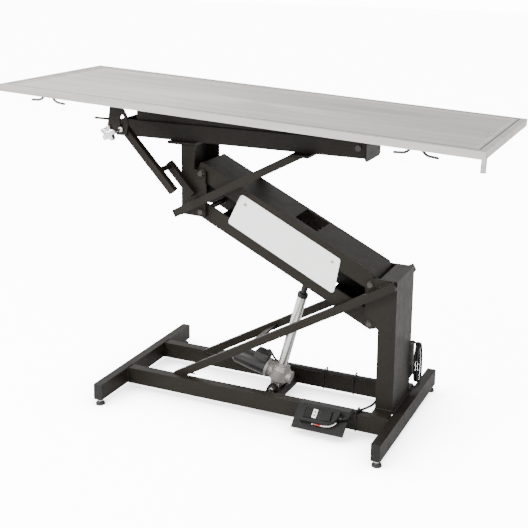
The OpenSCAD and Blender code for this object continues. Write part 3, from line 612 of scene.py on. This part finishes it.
KNOB = frame_at(KNOB_AT, (0, -1, 0), (0.95, 0, 0.3))
hub = lathe([(4.1, -8), (9, -8), (10, -7), (10.6, 0), (10.6, 0.5), (4.1, 0.5)], 40)
boss = lathe([(0, 20.0), (5.6, 20.0), (5.6, 20.8), (4.6, 21.6), (0, 21.8)], 32)
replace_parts(piece("star_knob", *joined([placed(part, KNOB) for part in (knob_mesh(), hub, boss)]), "knob",
                  "knob_bright"), "tilt_knob")
thread = [(4.0, -66 + 0.6 * i) if i % 2 else (3.72, -66 + 0.6 * i) for i in range(96)]
thread = [(3.6, -66)] + [(r + 0.05, z) for r, z in thread] + [(3.6, -8)]
piece("stud_thread", *placed(lathe(thread, 28), KNOB), "knob", "knob_bright")

# ---------------------------------------------------------------- foot switch

# A rim along the lower front edge of the switch's housing; its white colour is a painted highlight of that glossy edge
HIGHLIGHT_RIM = [(13, -29.4, 9), (21, -29.3, 9), (30, -28, 9), (38.4, -26.2, 9), (45, -22.2, 9), (50.6, -17.6, 9),
        (54.6, -12.4, 9.5)]
piece("switch_highlight_rim", *placed(tube(curve(HIGHLIGHT_RIM, 6), 2.1, 14), SWITCH), "base", "knob_bright",
      coated("highlight_rim_white", (0.80, 0.79, 0.78), (0.86, 0.85, 0.84), 0.24, 0.04, 0.05, 500))
piece("switch_lamp", *placed(tube([(-7, -29.3, 9), (2, -29.4, 9), (11, -29.4, 9)], 2.0, 14), SWITCH), "base",
      "black_plastic", RED)
piece("switch_pip", *placed(lathe([(2.6, -1), (2.6, 0), (1.8, 1.3), (0, 1.8)], 28),
                            SWITCH @ frame_at((-14, -29.2, 9), (0, -1, 0.2))), "base", "white_panel")
ROCKER_TOP = 21.5       # height of the rocker's middle
SLOPE = 3.5 / 40        # rise of its two halves
LABEL = SWITCH @ frame_at((-11, -2, ROCKER_TOP + 11 * SLOPE), (SLOPE, 0, 1))
label = placed(prism(rounded([(-6.6, -14), (6.6, -14), (6.6, 14), (-6.6, 14)], 1.6), -0.2, 0.6), LABEL)
piece("rocker_label", *label, "rocker", "white_panel", edge=0.2)


def arrow(sign):
    """An arrow on the rocker's label, up (1) or down (-1)."""
    base = [(-4.2, -3.2), (4.2, -3.2), (0, 3.8)]
    pts = [(x, y * sign + 6.4 * sign) for x, y in base]
    if sign < 0:
        pts = pts[::-1]
    return placed(prism(pts, 0.5, 0.75), LABEL)


piece("rocker_arrows", *joined([arrow(1), arrow(-1)]), "rocker", "white_panel", PRINT_AND_SHADE, smooth=False)
treads = []
for x in [-23, -27.5, -32, -36.5] + [8.5 + 4.7 * k for k in range(7)]:
    treads.append(placed(cuboid((x - 0.9, -15, 0), (x + 0.9, 11, 0.9)),
                         SWITCH @ Matrix.Translation((0, 0, (ROCKER_TOP + SLOPE * abs(x) - 0.25) * MM))))
piece("rocker_treads", *joined(treads), "rocker", "black_plastic", edge=0.3)

# ---------------------------------------------------------------- actuator

def on_act(part, at=Matrix()):
    """A part placed by at in the actuator's frame."""
    return placed(placed(part, at), ACT)


TUBE_GLAND = [(10.2, 316), (16.4, 316), (16.8, 316.6), (16.8, 327), (16.0, 328.4), (12.4, 329.6), (10.4, 329.6),
              (10.2, 329)]
piece("tube_gland", *on_act(lathe(TUBE_GLAND, 48)), "actuator", "black_plastic")
piece("tube_collar", *on_act(lathe([(15.1, 73), (18.6, 73), (18.6, 79), (17.8, 80.2), (15.1, 80.4)], 48)),
      "actuator", "cast_grey")
QUARTERS = [PI / 4 + k * PI / 2 for k in range(4)]
COVER_Z, COVER_R = 68, 24           # bolts of the gearbox's cover
FLANGE_X, FLANGE_R = -38, 25.5      # and of the motor's flange
cover = [on_act(hex_head(3.4, 3.2, 0.5), frame_at((COVER_R * math.cos(t), COVER_R * math.sin(t), COVER_Z), (0, 0, 1)))
         for t in QUARTERS]
flange = [on_act(hex_head(3.2, 3.0, 0.5),
                 frame_at((FLANGE_X, FLANGE_R * math.cos(t), MOTOR_Z + FLANGE_R * math.sin(t)), (1, 0, 0)))
          for t in QUARTERS]
piece("gearbox_bolts", *joined(cover + flange), "actuator", "bright_pin", edge=0.2)
BAND = [(28.9, -1.2), (29.6, -1.2), (29.9, 0), (29.6, 1.2), (28.9, 1.2)]
bands = [on_act(lathe(BAND, 64), frame_at((x, 0, MOTOR_Z), (1, 0, 0))) for x in (-60, -76, -136, -150)]
piece("motor_bands", *joined(bands), "actuator", "motor_black")
piece("motor_lead_gland", *placed(lathe([(r, z * 0.5) for r, z in GLAND]), frame_at((24, 20, 141), (0, 1, 0))),
      "actuator", "black_plastic")
# The motor's vents: thin raised slats on the end cap, near black as painted shade
vents = []
for k in range(10):
    a = 2 * PI * k / 10
    vents.append(on_act(prism(rounded([(9, -1.6), (20, -1.6), (20, 1.6), (9, 1.6)], 1.4, 4), 0, 0.5),
                        frame_at((MOTOR_END, 0, MOTOR_Z), (-1, 0, 0), (0, math.cos(a), math.sin(a)))))
piece("motor_vents", *joined(vents), "actuator", "motor_black", VENT_SHADE)
CLIP = [(0, 0), (5.6, 0), (5.6, 1.6), (4.8, 2.4), (0, 2.4)]
for n, y, way in (("a", -44.2, -1), ("b", 42.2, 1)):
    piece(f"base_pin_clip_{n}", *placed(lathe(CLIP, 32), frame_at((72, y, ACT_Z), (0, way, 0))), "base", "bright_pin")

# ---------------------------------------------------------------- weld beads

def bead(points, body, r=2.4, step=1.7):
    """A rippled weld along points, and the body that it is on."""
    a = [Vector(p) for p in points]
    path = []
    for p, q in zip(a, a[1:]):
        n = max(2, int((q - p).length / step))
        path += [p.lerp(q, k / n) for k in range(n)]
    path.append(a[-1])
    rnd = random.Random(int(sum(abs(c) for c in a[0]) * 7))
    size = [1 + 0.13 * math.sin(i * 2.2) + rnd.uniform(-0.05, 0.05) for i in range(len(path))]
    return tube(path, r, 10, "round", lambda i: size[i]), body


BEADS = []
for s in (-1, 1):
    BEADS += [
        bead([(426, 86.2 * s, 78.4), (476, 86.2 * s, 78.4)], "base"),
        bead([(-394.3, 102 * s, 70.2), (-394.3, 132.8 * s, 70.2)], "base"),
        bead([(479.8, 102 * s, 70.2), (479.8, 132.8 * s, 70.2)], "base"),
        bead([(-394.4, 133.9 * s, 22), (-394.4, 133.9 * s, 68)], "base"),
        bead([(479.9, 133.9 * s, 22), (479.9, 133.9 * s, 68)], "base"),
        bead([(-218, 84.6 * s, 70.4), (-176, 84.6 * s, 70.4)], "base"),
        bead([(424, 86 * s, 449.5), (455, 86 * s, 467.1)], "base", 2.1),
        bead([(424, 86 * s, 420.6), (474, 86 * s, 449.2)], "base", 2.1),
        bead([(-218, 86.2 * s, 590.5), (-166, 86.2 * s, 618.6)], "carriage", 2.1),
        bead([(-216, 86.2 * s, 618.0), (-160, 86.2 * s, 648.4)], "carriage", 2.1),
        bead([(150, 108 * s, 809.6), (186, 108 * s, 809.6)], "carriage", 2.0),
        bead([(-217, 86 * s, 807.4), (-177, 86 * s, 807.4)], "carriage", 2.2),
        bead([(148, 65.6 * s, 815.4), (204, 65.6 * s, 815.4)], "carriage", 2.0),
        bead([(361.2, 65.6 * s, 822), (361.2, 65.6 * s, 864)], "carriage", 1.6),
    ]
BEADS += [
    bead([(478.2, -84, 70.4), (478.2, 84, 70.4)], "base"),
    bead([(423.8, -76, 70.4), (423.8, 76, 70.4)], "base"),
    bead([(-249, -100, 750), (-249, -107.8, 750), (-241.5, -107.8, 747)], "carriage", 1.8),
]
for body in ("base", "carriage"):
    piece(f"weld_beads_{body}", *joined([b[0] for b in BEADS if b[1] == body]), body, "powder_coat")

# ---------------------------------------------------------------- drain, control box and inlet

DRAIN_X = 690
SPOUT_END = -116.5      # height of the spout's lower end, in the tabletop's frame
strainer = [placed(cuboid((DRAIN_X - a, -b, -7.5), (DRAIN_X + a, b, -5.7)), TOP) for a, b in ((6.4, 0.8), (0.8, 6.4))]
piece("drain_strainer", *joined(strainer), "tilt_top", "stainless", edge=0.25)
piece("spout_rim", *placed(lathe([(6.6, -1.6), (8.2, -1.6), (8.8, -0.8), (8.8, 0.6), (8.1, 1.4), (8.1, 3)], 40),
                           TOP @ Matrix.Translation(Vector((DRAIN_X, 0, SPOUT_END)) * MM)), "tilt_top", "stainless")

BOX_BACK = 129.3        # Y of the control box's rear face
LID_T = 1.8
LID_BACK = BOX_BACK + LID_T
lid = prism(rounded([(429, 115), (474, 115), (474, 213), (429, 213)], 4), 0, LID_T)
# This swaps Y and Z, which turns the faces inside out, so they are reversed
upright = Matrix(((1, 0, 0, 0), (0, 0, 1, BOX_BACK * MM), (0, 1, 0, 0), (0, 0, 0, 1)))
lid = placed(lid, upright)
piece("box_lid", lid[0], [tuple(reversed(f)) for f in lid[1]], "base", "black_plastic", edge=0.6)
DOT = [(0, 0), (3.1, 0), (2.9, 0.6), (1.6, 1.3), (0, 1.4)]
dots = [placed(lathe(DOT, 28), frame_at((x, LID_BACK, z), (0, 1, 0))) for x in (434, 469) for z in (120.5, 207.5)]
piece("box_screws", *joined(dots), "base", "bright_pin")
pins = [cuboid((x - 1.1, LID_BACK - 0.2, z - 2.2), (x + 1.1, LID_BACK + 3.5, z + 2.2))
        for x, z in ((445.4, 177.5), (451.4, 181), (457.4, 177.5))]
piece("inlet_pins", *joined(pins), "base", "bright_pin", edge=0.2)

# ---------------------------------------------------------------- floor, light and camera

def sheet(name, size, z, mat):
    """A square of the stage."""
    me = bpy.data.meshes.new(name)
    s = size / 2
    me.from_pydata([(-s, -s, z), (s, -s, z), (s, s, z), (-s, s, z)], [], [(0, 1, 2, 3)])
    o = bpy.data.objects.new(name, me)
    me.materials.append(mat)
    bpy.context.scene.collection.objects.link(o)


floor_mat, nt, b = new_material("floor")
v = coords(nt)
nt.links.new(blend_colour(nt, noise(nt, v, 1.5, 3.0), (0.82, 0.82, 0.82), (0.84, 0.84, 0.84)), b.inputs["Base Color"])
b.inputs["Roughness"].default_value = 0.85
b.inputs["Specular IOR Level"].default_value = 0.15
b.inputs["Emission Color"].default_value = (1.0, 1.0, 1.0, 1)
# A white studio floor: it glows for the camera only, and less where something stands near
near = nt.nodes.new("ShaderNodeAmbientOcclusion")
near.samples = 8
near.inputs["Distance"].default_value = 0.3
ray = nt.nodes.new("ShaderNodeLightPath")
glow = nt.nodes.new("ShaderNodeMath")
glow.operation = "MULTIPLY"
nt.links.new(remap(nt, near.outputs["AO"], 2.0, 11.0, 0.35, 1.0), glow.inputs[0])
nt.links.new(ray.outputs["Is Camera Ray"], glow.inputs[1])
nt.links.new(glow.outputs["Value"], b.inputs["Emission Strength"])
sheet("floor", 40.0, 0.0, floor_mat)

world = bpy.data.worlds.new("studio")
bpy.context.scene.world = world
world.use_nodes = True
bg = world.node_tree.nodes["Background"]
bg.inputs["Color"].default_value = (1.0, 1.0, 1.0, 1)
seen = world.node_tree.nodes.new("ShaderNodeLightPath")
level = world.node_tree.nodes.new("ShaderNodeMapRange")
around = world.node_tree.nodes.new("ShaderNodeTexCoord")
split = world.node_tree.nodes.new("ShaderNodeSeparateXYZ")
world.node_tree.links.new(around.outputs["Generated"], split.inputs["Vector"])
# The room lights more from the front than from the back; the camera itself sees only white
soft = remap(world.node_tree, split.outputs["Y"], 1.74, 0.94, -0.8, 0.8)
world.node_tree.links.new(soft, level.inputs["To Min"])
level.inputs["To Max"].default_value = 14.0
world.node_tree.links.new(seen.outputs["Is Camera Ray"], level.inputs["Value"])
world.node_tree.links.new(level.outputs["Result"], bg.inputs["Strength"])


def lamp(name, at, to, w, h, power, colour=(1, 1, 1)):
    """An area light that faces a point."""
    d = bpy.data.lights.new(name, "AREA")
    d.shape = "RECTANGLE"
    d.size, d.size_y = w, h
    d.energy = power
    d.color = colour
    o = bpy.data.objects.new(name, d)
    o.location = at
    o.rotation_euler = (Vector(to) - Vector(at)).to_track_quat("-Z", "Y").to_euler()
    bpy.context.scene.collection.objects.link(o)


lamp("key", (-2.6, -3.2, 3.4), (0, 0, 0.5), 2.4, 1.8, 400, (1.0, 0.985, 0.965))
lamp("fill", (3.6, -2.4, 1.8), (0.1, 0, 0.5), 2.0, 2.0, 55, (0.98, 0.99, 1.0))
lamp("back", (-2.6, 3.0, 3.6), (-0.2, 0, 0.7), 3.0, 1.4, 45)

# Camera: yaw, pitch and roll in degrees, then its lens and place
YAW, PITCH, ROLL = (math.radians(a) for a in (24.281, 12.133, 0.651))
fwd = Vector((-math.sin(YAW) * math.cos(PITCH), math.cos(YAW) * math.cos(PITCH), -math.sin(PITCH)))
right = Vector((math.cos(YAW), math.sin(YAW), 0))
up = right.cross(fwd)
r2 = right * math.cos(ROLL) + up * math.sin(ROLL)
u2 = up * math.cos(ROLL) - right * math.sin(ROLL)
cam = bpy.data.cameras.new("camera")
cam.sensor_width = 36
cam.lens = 69.9
cam.shift_y = -0.19
cam_o = bpy.data.objects.new("camera", cam)
m = Matrix((r2, u2, -fwd)).transposed().to_4x4()
m.translation = Vector((1.2702, -2.77311, 1.41057))
cam_o.matrix_world = m
bpy.context.scene.collection.objects.link(cam_o)
bpy.context.scene.camera = cam_o

bpy.context.view_layer.update()
